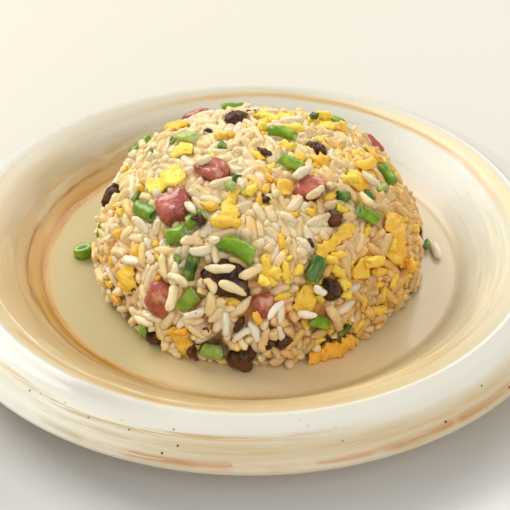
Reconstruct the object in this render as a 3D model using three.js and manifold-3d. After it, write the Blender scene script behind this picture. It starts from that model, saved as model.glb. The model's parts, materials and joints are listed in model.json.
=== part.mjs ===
// Fried rice on its plate: a deep hand-thrown stoneware plate with a rolled-over rim, and on it
// a mound of rice turned out of a rice bowl, with ham, mushroom, egg and spring onion in it.
// Millimetres, +Z up. The origin is at the centre of the foot ring, on the table.
import * as THREE from "three";
import { mergeVertices } from "three/addons/utils/BufferGeometryUtils.js";
import Module from "manifold-3d";

const wasm = await Module();
wasm.setup();

// ---------------------------------------------------------------- driving dimensions

// Plate
const plateRadius = 124;
const plateSegments = 64;
const crestRadius = 107.8; // the highest ring of the rim
const crestHeight = 29.7;
const lipHeight = 20; // the rim slopes down and out from the crest to here
const rimFullness = 1.15; // 1 is a straight slope and 2 a quarter of an ellipse
const floorRadius = 81.5; // where the flat of the plate meets its wall
const floorHeight = 11;
const wallThickness = 5.2;
const footOuterRadius = 70;
const footInnerRadius = 62;
const footHeight = 4.5;
const wellThickness = 5.5;

// Mound of rice, before its grains: a bowl's form, widest a little above the plate
const moundCentre = new THREE.Vector3(2.3, -2.8, 18.5);
const coreRadius = 61;
const coreRise = 46.4; // from the widest level to the top
const coreDrop = 30; // how fast it draws in below the widest level
const coreSquareness = 2.2;
const coreDetail = 13;
const restGap = 0.3; // left between pieces that touch

// Grains of cooked long rice
const grainLength = 9.5;
const grainWidth = 2.9;
const grainThickness = 2.5;
const grainCount = 160;
const bumpCount = 620;
const bumpHeight = 2.4;
const bumpWidth = 5.2;

// ---------------------------------------------------------------- small tools

const degrees = THREE.MathUtils.degToRad;

// The same numbers on every run, from one seed.
function seededRandom(seed) {
  let state = seed;
  return (low = 0, high = 1) => {
    state = (state * 1664525 + 1013904223) % 4294967296;
    return low + ((high - low) * state) / 4294967296;
  };
}

// Position-only copy of a geometry with its shared corners joined.
function weld(geometry) {
  const bare = geometry.clone();
  bare.deleteAttribute("normal");
  bare.deleteAttribute("uv");
  return mergeVertices(bare);
}

function toSolid(geometry) {
  const bare = weld(geometry);
  return new wasm.Manifold(
    new wasm.Mesh({
      numProp: 3,
      vertProperties: new Float32Array(bare.attributes.position.array),
      triVerts: new Uint32Array(bare.index.array),
    })
  );
}

function toGeometry(solid) {
  const mesh = solid.getMesh();
  const geometry = new THREE.BufferGeometry();
  const corners = new Float32Array(mesh.vertProperties);
  geometry.setAttribute("position", new THREE.BufferAttribute(corners, 3));
  geometry.setIndex(new THREE.BufferAttribute(new Uint32Array(mesh.triVerts), 1));
  return geometry;
}

// Moves every corner of a welded geometry to where the function puts it.
function reshape(geometry, place) {
  const shaped = weld(geometry);
  const corners = shaped.attributes.position;
  const point = new THREE.Vector3();
  for (let i = 0; i < corners.count; i += 1) {
    point.fromBufferAttribute(corners, i);
    place(point);
    corners.setXYZ(i, point.x, point.y, point.z);
  }
  return shaped;
}

function material(colour, roughness) {
  return new THREE.MeshStandardMaterial({ color: colour, roughness, metalness: 0 });
}

const glaze = material("#e9e4d4", 0.22);
const rice = material("#e2d0a8", 0.45);
const ham = material("#a54c3a", 0.4);
const mushroom = material("#4a302c", 0.45);
const egg = material("#f4bf38", 0.5);
const onion = material("#5fa024", 0.35);

const group = new THREE.Group();

function addPiece(name, geometry, finish) {
  const mesh = new THREE.Mesh(geometry, finish);
  mesh.name = name;
  group.add(mesh);
  return mesh;
}

// ---------------------------------------------------------------- plate

// The rim's top slopes from the crest down to the lip, a little fuller than straight, its lip
// is round, and the wall swings down to the flat in an S. The underside follows it, one wall
// away.
function plateProfile() {
  const points = [];
  const add = (radius, height) => points.push(new THREE.Vector2(radius, height));
  const lipRound = 2.8;
  const wallSteps = 5;
  const rimSteps = 4;
  add(0, floorHeight);
  for (let i = 0; i <= wallSteps; i += 1) {
    const along = i / wallSteps;
    const rise = 2 * along ** 1.3 - along ** 2.3;
    add(
      THREE.MathUtils.lerp(floorRadius, crestRadius, along),
      THREE.MathUtils.lerp(floorHeight, crestHeight, rise)
    );
  }
  for (let i = 1; i <= rimSteps; i += 1) {
    const turn = degrees((90 * i) / rimSteps);
    add(
      crestRadius + (plateRadius - crestRadius) * Math.sin(turn) ** (2 / rimFullness),
      lipHeight + (crestHeight - lipHeight) * Math.abs(Math.cos(turn)) ** (2 / rimFullness)
    );
  }
  add(plateRadius - 0.8, lipHeight - lipRound);
  add(plateRadius - 5, lipHeight - lipRound);
  add(crestRadius + 4, crestHeight - wallThickness - 1.6);
  add(crestRadius - 6, crestHeight - wallThickness - 4);
  add(floorRadius + 6, floorHeight - wallThickness + 2.2);
  add(footOuterRadius + 1, footHeight);
  add(footOuterRadius - 1, 0);
  add(footInnerRadius + 1, 0);
  add(footInnerRadius - 1, footHeight);
  add(0, floorHeight - wellThickness - 0.4);
  return points;
}

function plateGeometry() {
  const lathe = new THREE.LatheGeometry(plateProfile().reverse(), plateSegments);
  return weld(lathe.rotateX(Math.PI / 2));
}

// ---------------------------------------------------------------- mound form

// Distance from the mound's centre to its bare core, in a given direction.
function coreReach(direction) {
  const across = Math.hypot(direction.x, direction.y);
  const climb = Math.atan2(direction.z, across);
  const bearing = Math.atan2(direction.y, direction.x);
  const depth = direction.z >= 0 ? coreRise : coreDrop;
  const form = (across / coreRadius) ** coreSquareness + (Math.abs(direction.z) / depth) ** coreSquareness;
  const even = form ** (-1 / coreSquareness);
  const sway = 0.8 * Math.sin(3 * bearing + 0.6) + 0.5 * Math.sin(5 * bearing + 3 * climb + 2);
  return even + sway * Math.cos(climb);
}

const step = 0.02;

// The point on the bare core in a direction, and the way its surface faces there.
function coreSpot(direction) {
  const at = (d) => d.clone().multiplyScalar(coreReach(d)).add(moundCentre);
  const side = new THREE.Vector3(-direction.y, direction.x, 0).normalize();
  const rise = new THREE.Vector3().crossVectors(direction, side);
  const here = at(direction);
  const sideways = at(direction.clone().addScaledVector(side, step).normalize()).sub(here);
  const upwards = at(direction.clone().addScaledVector(rise, step).normalize()).sub(here);
  return { point: here, normal: sideways.cross(upwards).normalize() };
}

function directionTo(bearing, climb) {
  const across = Math.cos(degrees(climb));
  return new THREE.Vector3(
    across * Math.cos(degrees(bearing)),
    across * Math.sin(degrees(bearing)),
    Math.sin(degrees(climb))
  );
}

// Where a topping lies on the core: its middle, its long way, the way across it and the way
// out. Its turn is counted from level, anticlockwise as seen from outside.
function footing({ bearing, climb, turn }) {
  const direction = directionTo(bearing, climb);
  const { point, normal } = coreSpot(direction);
  const level = new THREE.Vector3(-direction.y, direction.x, 0).normalize();
  const along = level.applyAxisAngle(normal, degrees(turn));
  const over = new THREE.Vector3().crossVectors(normal, along);
  return { point, normal, along, over };
}

// Wraps a shape that is drawn flat onto the core: its x runs the long way, its y across and
// its z out from the core. Nothing reaches below the plate's flat.
function layOnCore(geometry, spot) {
  return reshape(geometry, (corner) => {
    const target = spot.point.clone().sub(moundCentre);
    target.addScaledVector(spot.along, corner.x).addScaledVector(spot.over, corner.y);
    const under = coreSpot(target.normalize());
    corner.copy(under.point.addScaledVector(under.normal, corner.z + restGap));
    corner.z = Math.max(corner.z, floorHeight + restGap);
  });
}

// ---------------------------------------------------------------- toppings, drawn flat

// How far a straight piece of a given span would dip into the round core at its middle.
function chordSag(span) {
  return span ** 2 / (8 * coreRadius);
}

// Diced ham: a block with its edges cut unevenly, one side of its top higher.
function hamShape({ length, width, height, slope = 0.15 }, random) {
  const block = new THREE.BoxGeometry(length, width, height, 2, 2, 1);
  block.translate(0, 0, height / 2 + chordSag(length / 2));
  return reshape(block, (point) => {
    const corner = Math.abs(point.x) > 0 && Math.abs(point.y) > 0;
    const pull = corner ? 0.88 : 1.04;
    const upper = point.z > height / 2;
    const top = upper ? 0.86 : 1;
    point.x = point.x * pull * top + random(-0.3, 0.3);
    point.y = point.y * pull * top + random(-0.3, 0.3);
    point.z += upper ? slope * point.y + random(-0.3, 0.3) + (corner ? -0.5 : 0.3) : 0;
  });
}

// Chopped mushroom: a rounded lump with a few uneven lobes, flat where it lies.
function mushroomShape({ length, width, height }, random) {
  const phase = random(0, 6);
  const ball = new THREE.IcosahedronGeometry(1, 1);
  return reshape(ball, (point) => {
    const angle = Math.atan2(point.y, point.x);
    const lobes = 1 + 0.1 * Math.sin(3 * angle + phase) + 0.07 * Math.sin(5 * angle - phase);
    point.x *= (length / 2) * lobes;
    point.y *= (width / 2) * lobes;
    point.z = Math.max(0, (0.45 + 0.55 * point.z) * height * (1 + random(-0.07, 0.07)));
  });
}

// Scrambled egg: a thin waved strip, narrower at its ends, bent along its length.
function eggShape({ length, width, height, bend = 0, wave = 0.5 }, random) {
  const steps = Math.max(3, Math.round(length / 3.2));
  const phase = random(0, 6);
  const strip = new THREE.BoxGeometry(length, width, height, steps, 2, 1);
  strip.translate(0, 0, height / 2);
  return reshape(strip, (point) => {
    const along = (2 * point.x) / length;
    const taper = (1 - 0.42 * along ** 4) * (1 + 0.16 * Math.sin(3 * along + phase));
    const upper = point.z > height / 2;
    const middle = Math.abs(point.y) < width / 8;
    const across = point.y * taper * (upper ? 0.86 : 1);
    const turn = degrees(bend) * along;
    const swing = bend === 0 ? 0 : length / 2 / degrees(bend);
    point.z = upper ? height + wave * Math.sin(4 * along + phase) + (middle ? 0.35 : -0.2) : 0;
    point.x = bend === 0 ? point.x : (swing - across) * Math.sin(turn);
    point.y = bend === 0 ? across : swing - (swing - across) * Math.cos(turn);
  });
}

// Spring onion, cut short and lying on its side: a hollow leaf is a tube, a stem is solid.
function onionShape({ length, width, height = width, hollow = false }) {
  const radius = 1;
  const sides = 8;
  const rod = new THREE.CylinderGeometry(radius, radius, length, sides, 1);
  const wall = 0.62;
  const ring = [
    [wall, -length / 2],
    [radius, -length / 2],
    [radius, length / 2],
    [wall, length / 2],
    [wall, -length / 2],
  ].map(([r, h]) => new THREE.Vector2(r, h));
  const tube = hollow ? new THREE.LatheGeometry(ring, sides) : rod;
  tube.rotateZ(-Math.PI / 2);
  return reshape(tube, (point) => {
    point.y *= width / 2;
    point.z = (point.z * height) / 2 + height / 2 + chordSag(length);
  });
}

// The same, standing on its cut end.
function onionRingShape({ length, width }) {
  const lying = onionShape({ length, width, hollow: true });
  return reshape(lying, (point) => {
    const across = point.z - width / 2;
    const up = point.x + length / 2;
    point.set(-across, point.y, up);
  });
}

// Where each topping lies: bearing round the mound from +X, climb up it from its widest
// level, turn of its long side from level, and its size.
const hamPieces = [
  { bearing: -133.5, climb: 62.5, turn: 8, length: 11.5, width: 9, height: 4.4 },
  { bearing: -135, climb: 42, turn: 52, length: 12, width: 9.5, height: 4.6 },
  { bearing: -124, climb: 12, turn: 75, length: 11.5, width: 9.5, height: 3.6 },
  { bearing: -53, climb: 54, turn: 20, length: 9.5, width: 8, height: 3.6 },
  { bearing: -88, climb: 16.5, turn: 100, length: 8, width: 7, height: 3 },
  { bearing: 36, climb: 24, turn: 40, length: 9.5, width: 8.5, height: 4 },
  { bearing: 118, climb: 30, turn: -25, length: 11, width: 9.5, height: 4.4 },
];

const mushroomPieces = [
  { bearing: -102, climb: 24, turn: -12, length: 17, width: 12, height: 3.6 },
  { bearing: -95, climb: -2, turn: 30, length: 9, width: 8.5, height: 6 },
  { bearing: -64, climb: 17.5, turn: -65, length: 8, width: 7, height: 3.8 },
  { bearing: -51, climb: 39.5, turn: -42, length: 6.5, width: 5.5, height: 3.4 },
  { bearing: 113, climb: 64, turn: 38, length: 9.5, width: 7, height: 4.2 },
  { bearing: 180, climb: 22, turn: 80, length: 10.5, width: 6.5, height: 4.2 },
  { bearing: -127, climb: -3.5, turn: 5, length: 7, width: 5, height: 4 },
  { bearing: -4, climb: 63, turn: 63, length: 9, width: 3.8, height: 3.2 },
  { bearing: 62, climb: 22, turn: 40, length: 13, width: 9.5, height: 4 },
  { bearing: 146, climb: 14, turn: -30, length: 10, width: 8.5, height: 4.2 },
];

const eggPieces = [
  { bearing: -156, climb: 46.5, turn: 62, length: 15, width: 7.5, height: 3.2 },
  { bearing: -179, climb: 56.5, turn: -70, length: 8.5, width: 6, height: 2.8 },
  { bearing: -141, climb: 11.5, turn: 84, length: 11, width: 6.8, height: 3 },
  { bearing: -106, climb: 48.5, turn: -80, length: 14, width: 4.6, height: 2.8, bend: 34 },
  { bearing: -87, climb: 27, turn: -75, length: 9.5, width: 4.2, height: 3, bend: 38 },
  { bearing: -56, climb: 32.5, turn: 16, length: 19, width: 4.2, height: 2.8, bend: -10 },
  { bearing: -26, climb: 19.5, turn: 73, length: 20, width: 7.6, height: 3, bend: 10 },
  { bearing: -17.5, climb: 43, turn: -17, length: 14, width: 7, height: 2.8 },
  { bearing: -74, climb: 17, turn: 56, length: 9, width: 5.6, height: 3.2, bend: 14 },
  { bearing: -65, climb: -4, turn: 6, length: 19, width: 6.2, height: 5, bend: -10 },
  { bearing: -115, climb: 0, turn: -47, length: 11.5, width: 8, height: 4 },
  { bearing: 74, climb: 62, turn: 22, length: 14, width: 6.4, height: 3 },
  { bearing: 40, climb: 52, turn: 10, length: 11, width: 5, height: 2.8, bend: 12 },
  { bearing: -69.5, climb: 57.5, turn: 86, length: 7, width: 4.4, height: 2.8 },
  { bearing: -48, climb: 20, turn: 12, length: 11.5, width: 4.8, height: 3 },
  { bearing: 96, climb: 12, turn: 30, length: 16, width: 6, height: 3.2, bend: 20 },
  { bearing: 84, climb: 40, turn: -50, length: 12, width: 6.6, height: 3 },
  { bearing: 139, climb: 42, turn: 66, length: 14, width: 6, height: 3, bend: -14 },
  { bearing: 32, climb: 8, turn: 80, length: 12, width: 5.6, height: 3 },
];

const onionPieces = [
  { bearing: -98, climb: 33, turn: -27, length: 11, width: 5.2, height: 4.6 },
  { bearing: -125, climb: 33.5, turn: 30, length: 6.5, width: 5.4, height: 5, hollow: true },
  { bearing: -120, climb: 40.5, turn: 52, length: 6, width: 5, height: 4.6 },
  { bearing: -147.5, climb: 34, turn: 15, length: 9.5, width: 5.2, height: 4.6, hollow: true },
  { bearing: -114.5, climb: 25.5, turn: 88, length: 7, width: 4.4, height: 4.2 },
  { bearing: -113, climb: 15.5, turn: 53, length: 7, width: 5, height: 4.8 },
  { bearing: -104.5, climb: -0.5, turn: -2, length: 6.5, width: 4.6, height: 5 },
  { bearing: -49, climb: 67, turn: -72, length: 8, width: 4.6, height: 4 },
  { bearing: 26, climb: 77, turn: 43, length: 9, width: 4.4, height: 4 },
  { bearing: -34.5, climb: 33.5, turn: -55, length: 7, width: 4.4, height: 4, hollow: true },
  { bearing: 0, climb: 32.5, turn: 36, length: 7.5, width: 4.4, height: 4 },
  { bearing: -69, climb: 25, turn: 50, length: 6.2, width: 5.6, height: 4.8, hollow: true },
  { bearing: -70, climb: 8.5, turn: -34, length: 6, width: 4, height: 3.6 },
  { bearing: 164, climb: 57, turn: 67, length: 7, width: 4.4, height: 3.8 },
  { bearing: 48, climb: 36, turn: -20, length: 9, width: 4.8, height: 4.4 },
  { bearing: 128, climb: 12, turn: 48, length: 8, width: 5, height: 4.4, hollow: true },
  { bearing: 104, climb: 40, turn: 6, length: 8, width: 4.6, height: 4.2 },
  { bearing: 150, climb: 28, turn: -40, length: 8.5, width: 4.8, height: 4.4 },
];

const kinds = [
  ["ham", hamPieces, hamShape, ham],
  ["mushroom", mushroomPieces, mushroomShape, mushroom],
  ["egg", eggPieces, eggShape, egg],
  ["spring_onion", onionPieces, onionShape, onion],
];

const toppings = [];
kinds.forEach(([kind, pieces, shape, finish]) => {
  const random = seededRandom(11);
  pieces.forEach((piece, i) => {
    const spot = footing(piece);
    const geometry = layOnCore(shape(piece, random), spot);
    addPiece(`${kind}_${String(i + 1).padStart(2, "0")}`, geometry, finish);
    toppings.push({ ...piece, ...spot, solid: toSolid(geometry) });
  });
});

// One ring of spring onion has rolled off and stands on the plate against the mound.
const looseRing = { x: -67.2, y: 0.6, length: 4.2, width: 7.4 };
const ringGeometry = onionRingShape(looseRing);
ringGeometry.translate(looseRing.x, looseRing.y, floorHeight + restGap);
addPiece("spring_onion_loose", ringGeometry, onion);
const looseSolid = toSolid(ringGeometry);

// ---------------------------------------------------------------- mound of rice

// Does a point of the core lie under a topping, or within a margin of its sides?
function nearTopping(point, margin) {
  return toppings.some(({ point: middle, along, over, length, width, bend = 0 }) => {
    const offset = point.clone().sub(middle);
    const bow = (length / 4) * degrees(Math.abs(bend));
    const inLength = Math.abs(offset.dot(along)) < length / 2 + margin;
    const inWidth = Math.abs(offset.dot(over)) < width / 2 + bow + margin;
    return inLength && inWidth && offset.length() < length + margin;
  });
}

// A direction drawn evenly over the mound, from its top down to the plate.
function drawDirection(random) {
  const lowest = -0.13;
  const height = random(lowest, 1);
  const bearing = random(0, 2 * Math.PI);
  const across = Math.sqrt(1 - height ** 2);
  return new THREE.Vector3(across * Math.cos(bearing), across * Math.sin(bearing), height);
}

// A grain's place on the core: its middle, its long way and the way out from the core.
function drawGrain(random) {
  const direction = drawDirection(random);
  const { point, normal } = coreSpot(direction);
  const level = new THREE.Vector3(-direction.y, direction.x, 0).normalize();
  const along = level.applyAxisAngle(normal, random(0, Math.PI));
  return { point, normal, along };
}

// How far grain-sized ridges raise the core at a point.
function ridgeHeight(point, grains) {
  let highest = 0;
  grains.forEach((grain) => {
    const offset = point.clone().sub(grain.point);
    if (offset.length() < grainLength / 2) {
      const lengthwise = offset.dot(grain.along) / (grainLength / 2);
      const across = offset.cross(grain.along).length() / (bumpWidth / 2);
      const swell = (1 - lengthwise ** 2) * (1 - across ** 2);
      highest = across < 1 ? Math.max(highest, bumpHeight * Math.sqrt(Math.max(0, swell))) : highest;
    }
  });
  return highest;
}

// The core: a ball drawn out to the mound's form, with ridges where no topping lies, and its
// lowest corners set on the level where it is cut flat.
function coreGeometry(ridges) {
  const base = floorHeight + restGap;
  const snap = 1.7;
  const margin = 4.8;
  return reshape(new THREE.IcosahedronGeometry(1, coreDetail), (corner) => {
    const { point, normal } = coreSpot(corner.clone().normalize());
    const raise = nearTopping(point, margin) ? 0 : ridgeHeight(point, ridges);
    corner.copy(point).addScaledVector(normal, raise);
    corner.z = Math.abs(corner.z - base) < snap ? base : corner.z;
  });
}

// One grain: a five-sided bar that comes to a point at each end.
function grainGeometry({ point, normal, along, lift, tilt }, swell) {
  const ball = new THREE.SphereGeometry(1, 5, 3).rotateZ(Math.PI / 2);
  const fullness = Math.sin(Math.PI / 3);
  ball.scale(
    (swell * grainLength) / 2,
    (swell * grainWidth) / 2 / fullness,
    (swell * grainThickness) / 2 / fullness
  );
  const over = new THREE.Vector3().crossVectors(normal, along);
  const frame = new THREE.Matrix4().makeBasis(along, over, normal);
  frame.setPosition(point.clone().addScaledVector(normal, lift));
  return ball.rotateY(tilt).applyMatrix4(frame);
}

// Grains spread evenly over the core, none nearer to the last ones than a spacing and none
// across a topping.
function standingGrains(random, ridges) {
  const spacing = 7.5;
  const tries = 6000;
  const clearance = 1.22;
  const solids = [looseSolid, ...toppings.map((topping) => topping.solid)];
  const placed = [];
  for (let i = 0; i < tries && placed.length < grainCount; i += 1) {
    const grain = { ...drawGrain(random), tilt: random(-0.2, 0.2) };
    grain.lift = 0.35 * grainThickness + 0.5 * ridgeHeight(grain.point, ridges);
    const crowded = placed.some((other) => other.point.distanceTo(grain.point) < spacing);
    if (!crowded) {
      const space = toSolid(grainGeometry(grain, clearance));
      const crossed = solids.some((solid) => !space.intersect(solid).isEmpty());
      if (!crossed) {
        placed.push({ point: grain.point, solid: toSolid(grainGeometry(grain, 1)) });
      }
    }
  }
  return placed.map((grain) => grain.solid);
}

function moundGeometry() {
  const random = seededRandom(5);
  const ridges = Array.from({ length: bumpCount }, () => drawGrain(random));
  let mound = toSolid(coreGeometry(ridges));
  standingGrains(random, ridges).forEach((grain) => {
    mound = mound.add(grain);
  });
  const half = coreRadius * 2;
  const above = new THREE.BoxGeometry(2 * half, 2 * half, half);
  above.translate(0, 0, floorHeight + restGap + half / 2);
  const parts = mound.intersect(toSolid(above)).decompose();
  parts.sort((one, other) => other.volume() - one.volume());
  return toGeometry(parts[0]);
}

addPiece("rice_mound", moundGeometry(), rice);
addPiece("plate", plateGeometry(), glaze);

export default group;
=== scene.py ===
import json
import math

import bpy
import numpy as np
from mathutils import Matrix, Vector

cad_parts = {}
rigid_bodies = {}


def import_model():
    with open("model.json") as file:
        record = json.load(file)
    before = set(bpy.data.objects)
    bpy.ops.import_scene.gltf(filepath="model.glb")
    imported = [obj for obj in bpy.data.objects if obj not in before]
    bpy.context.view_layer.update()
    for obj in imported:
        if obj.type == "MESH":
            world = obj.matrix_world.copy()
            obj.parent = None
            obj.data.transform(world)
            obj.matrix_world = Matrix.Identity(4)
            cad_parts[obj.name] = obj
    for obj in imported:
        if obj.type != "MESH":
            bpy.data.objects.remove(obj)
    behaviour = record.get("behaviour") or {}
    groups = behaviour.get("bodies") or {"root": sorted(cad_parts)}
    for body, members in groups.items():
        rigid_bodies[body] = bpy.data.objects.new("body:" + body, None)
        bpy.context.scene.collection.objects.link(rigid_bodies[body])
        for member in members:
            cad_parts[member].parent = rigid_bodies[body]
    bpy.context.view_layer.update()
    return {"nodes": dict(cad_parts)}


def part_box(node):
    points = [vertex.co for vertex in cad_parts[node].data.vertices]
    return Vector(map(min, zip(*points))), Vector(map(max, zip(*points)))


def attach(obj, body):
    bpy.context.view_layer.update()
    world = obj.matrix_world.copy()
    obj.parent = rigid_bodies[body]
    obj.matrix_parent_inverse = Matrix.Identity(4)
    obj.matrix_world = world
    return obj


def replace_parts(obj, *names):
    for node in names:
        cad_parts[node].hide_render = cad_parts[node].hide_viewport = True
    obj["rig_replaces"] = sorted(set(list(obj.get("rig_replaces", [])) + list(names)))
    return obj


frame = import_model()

mm = 0.001
scene = bpy.context.scene

# -------------------- table and light
# The plate stands on a pale table near a big window, which is behind it on its left. A white
# wall in front gives back some light. The camera looks down on it as a diner would.

camera_data = bpy.data.cameras.new("camera")
camera_data.lens = 81.5
camera_data.clip_start = 0.01
camera = bpy.data.objects.new("camera", camera_data)
camera.location = (1.4 * mm, -370.05 * mm, 287.1 * mm)
camera.rotation_euler = (math.radians(53.34), 0.0, 0.0)
scene.collection.objects.link(camera)
scene.camera = camera
scene.view_settings.view_transform = "Standard"


plate_middle = Vector((0.0, 0.0, 30 * mm))


def add_lamp(name, place, width, height, watts, colour):
    """A soft rectangular lamp at a place, turned to face the plate."""
    lamp = bpy.data.lights.new(name, "AREA")
    lamp.shape = "RECTANGLE"
    lamp.size = width
    lamp.size_y = height
    lamp.energy = watts
    lamp.color = colour
    stand = bpy.data.objects.new(name, lamp)
    stand.location = place
    stand.rotation_euler = (plate_middle - Vector(place)).to_track_quat("-Z", "Y").to_euler()
    scene.collection.objects.link(stand)


add_lamp("window", (-0.75, 0.55, 0.95), 0.9, 0.7, 12.6, (1.0, 0.97, 0.92))
add_lamp("window_beside", (0.8, 1.5, 1.3), 1.3, 1.0, 16.0, (1.0, 0.975, 0.93))
add_lamp("wall_in_front", (0.3, -1.2, 1.1), 1.4, 1.0, 8.0, (0.97, 0.98, 1.0))

world = bpy.data.worlds.new("room")
world.use_nodes = True
scene.world = world
background = world.node_tree.nodes["Background"].inputs
background["Color"].default_value = (0.98, 0.97, 0.94, 1.0)
background["Strength"].default_value = 0.54


def linear(red, green, blue):
    """A colour given as 0 to 255 on screen, as the linear numbers that shaders use."""
    shown = np.array([red, green, blue]) / 255
    return (*np.where(shown <= 0.04045, shown / 12.92, ((shown + 0.055) / 1.055) ** 2.4), 1.0)


class Wire:
    """A node's output that takes part in arithmetic. Each operator adds one Math node."""

    def __init__(self, finish, socket):
        self.finish = finish
        self.socket = socket

    def math(self, operation, *values):
        sockets = dict(enumerate(values))
        return self.finish.node("ShaderNodeMath", {"operation": operation}, sockets)

    __add__ = __radd__ = lambda one, other: one.math("ADD", one, other)
    __mul__ = __rmul__ = lambda one, other: one.math("MULTIPLY", one, other)
    __sub__ = lambda one, other: one.math("SUBTRACT", one, other)
    __rsub__ = lambda one, other: one.math("SUBTRACT", other, one)
    __truediv__ = lambda one, other: one.math("DIVIDE", one, other)
    __pow__ = lambda one, other: one.math("POWER", one, other)
    __abs__ = lambda one: one.math("ABSOLUTE", one)

    def rise(self, low, high):
        """0 below low and 1 above high, with a smooth step between; falls if low is higher."""
        falls = float(low > high)
        sockets = {0: self, 1: min(low, high), 2: max(low, high), 3: falls, 4: 1 - falls}
        settings = {"interpolation_type": "SMOOTHSTEP"}
        return self.finish.node("ShaderNodeMapRange", settings, sockets)

    def band(self, middle, half):
        """1 at the middle, falling smoothly to 0 at half a width on both sides."""
        return abs(self - middle).rise(half, 0.0)


class Finish:
    """One material. Its colour starts as one given 0 to 255 on screen and is painted over.
    Constants are set on the shader by name; node() adds any other node."""

    def __init__(self, name, colour, **constants):
        self.material = bpy.data.materials.new(name)
        self.material.use_nodes = True
        self.tree = self.material.node_tree
        self.shader = self.tree.nodes["Principled BSDF"]
        for socket, value in constants.items():
            self.shader.inputs[socket.replace("_", " ")].default_value = value
        self.where = self.node("ShaderNodeTexCoord", {}, {}, "Object")
        self.colour = linear(*colour)

    def node(self, kind, settings, sockets, output=0):
        """Adds a node, makes its settings first, then sets or links its sockets."""
        made = self.tree.nodes.new(kind)
        for name, value in settings.items():
            setattr(made, name, value)
        for name, value in sockets.items():
            if isinstance(value, Wire):
                self.tree.links.new(value.socket, made.inputs[name])
            else:
                made.inputs[name].default_value = value
        return Wire(self, made.outputs[output])

    def split(self):
        """The three coordinates of a place on the piece."""
        parts = self.node("ShaderNodeSeparateXYZ", {}, {0: self.where}).socket.node.outputs
        return [Wire(self, part) for part in parts]

    def attribute(self, name):
        """A number that the mesh stores at its points."""
        return self.node("ShaderNodeAttribute", {"attribute_name": name}, {}, "Fac")

    def feed(self, socket, wire):
        self.tree.links.new(wire.socket, self.shader.inputs[socket])

    def noise(self, size, detail=2.0, where=None, roughness=0.5, warp=0.0):
        """Cloudy noise, 0 to 1, with lumps about this size."""
        sockets = {
            "Vector": where or self.where,
            "Scale": 1 / size,
            "Detail": detail,
            "Roughness": roughness,
            "Distortion": warp,
        }
        return self.node("ShaderNodeTexNoise", {}, sockets, "Fac")

    def blend(self, factor, one, other):
        """A colour between two, at a factor."""
        sockets = {0: factor, 6: one, 7: other}
        return self.node("ShaderNodeMix", {"data_type": "RGBA"}, sockets, 2)

    def paint(self, *coats):
        """Paints over what is there. Each coat is how much, and red, green and blue."""
        for amount, *colour in coats:
            self.colour = self.blend(amount, self.colour, linear(*colour))

    def specks(self, size):
        """Distance to the nearest of points strewn about this far apart, in those steps."""
        sockets = {"Vector": self.where, "Scale": 1 / size}
        return self.node("ShaderNodeTexVoronoi", {}, sockets, "Distance")

    def dress(self, roughness, relief, depth):
        """Feeds the shader its colour, its roughness, and relief of this depth in metres."""
        sockets = {"Height": relief, "Strength": 1.0, "Distance": depth}
        self.feed("Base Color", self.colour)
        self.feed("Roughness", roughness)
        self.feed("Normal", self.node("ShaderNodeBump", {}, sockets))


table = bpy.data.meshes.new("table")
half = 3.0
corners = [(-half, -half, 0), (half, -half, 0), (half, half, 0), (-half, half, 0)]
table.from_pydata(corners, [], [(0, 1, 2, 3)])
table_top = bpy.data.objects.new("table", table)
scene.collection.objects.link(table_top)
table_paint = Finish("table_paint", (209, 203, 190), Roughness=0.6)
x, y, z = table_paint.split()
# The table is painted lighter and cooler towards the front, a painted light, and darker towards its
# front-left corner, a painted shadow.
table_paint.paint(
    (table_paint.noise(400 * mm, 2.0), 216, 210, 199),
    (y.rise(-70 * mm, -150 * mm), 232, 234, 236),
    ((-0.8 * x - 0.6 * y).rise(70 * mm, 200 * mm), 170, 168, 166),
)
table_paint.feed("Base Color", table_paint.colour)
table.materials.append(table_paint.material)

# -------------------- plate
# A thrown stoneware plate, 248 mm across: a flat well, an open wall, and a broad rim that
# slopes down and out to a thick lip. It stands on a bare clay foot ring.

plate_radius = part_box("plate")[1].x
crest_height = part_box("plate")[1].z
crest_radius = plate_radius - 16.2 * mm
rim_fullness = 1.15
lip_height = 20 * mm
lip_round = 2.8 * mm
floor_radius = 81.5 * mm
floor_height = 11 * mm
plate_sides = 240


def soften(line, rounds=2):
    """Rounds the corners of a line of points: each stretch keeps its middle half."""
    for _ in range(rounds):
        near = 0.75 * line[:-1] + 0.25 * line[1:]
        far = 0.25 * line[:-1] + 0.75 * line[1:]
        line = np.concatenate([line[:1], np.stack([near, far], 1).reshape(-1, 2), line[-1:]])
    return line


def plate_profile():
    """Radius and height from the middle underneath, round the lip, to the middle on top. The
    wall swings up in an S, and the rim slopes down a little fuller than straight."""
    under = np.array([[2, 5.1], [61, 4.5], [63, 0], [69, 0], [71, 4.5], [87.5, 8.0],
                      [101.8, 20.5], [111.8, 22.9], [118, 17.4], [120.4, 17.2]]) * mm
    turn = np.linspace(0, np.pi / 2, 7)
    lip = np.stack([
        plate_radius - lip_round * (1 - np.sin(turn)),
        lip_height - lip_round * np.cos(turn),
    ], 1)
    turn = np.linspace(np.pi / 2, 0, 9)[1:]
    power = 2 / rim_fullness
    rim = np.stack([
        crest_radius + (plate_radius - crest_radius) * np.sin(turn) ** power,
        lip_height + (crest_height - lip_height) * np.cos(turn) ** power,
    ], 1)
    along = np.linspace(1, 0, 15)[1:]
    wall = np.stack([
        floor_radius + (crest_radius - floor_radius) * along,
        floor_height + (crest_height - floor_height) * (2 * along ** 1.3 - along ** 2.3),
    ], 1)
    well = np.array([[78, 11], [60, 11], [30, 11], [2, 11]]) * mm
    return soften(np.concatenate([under, lip, rim, wall, well]))


def turns(sides):
    """Even angles round a circle."""
    return np.arange(sides) * 2 * np.pi / sides


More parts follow.
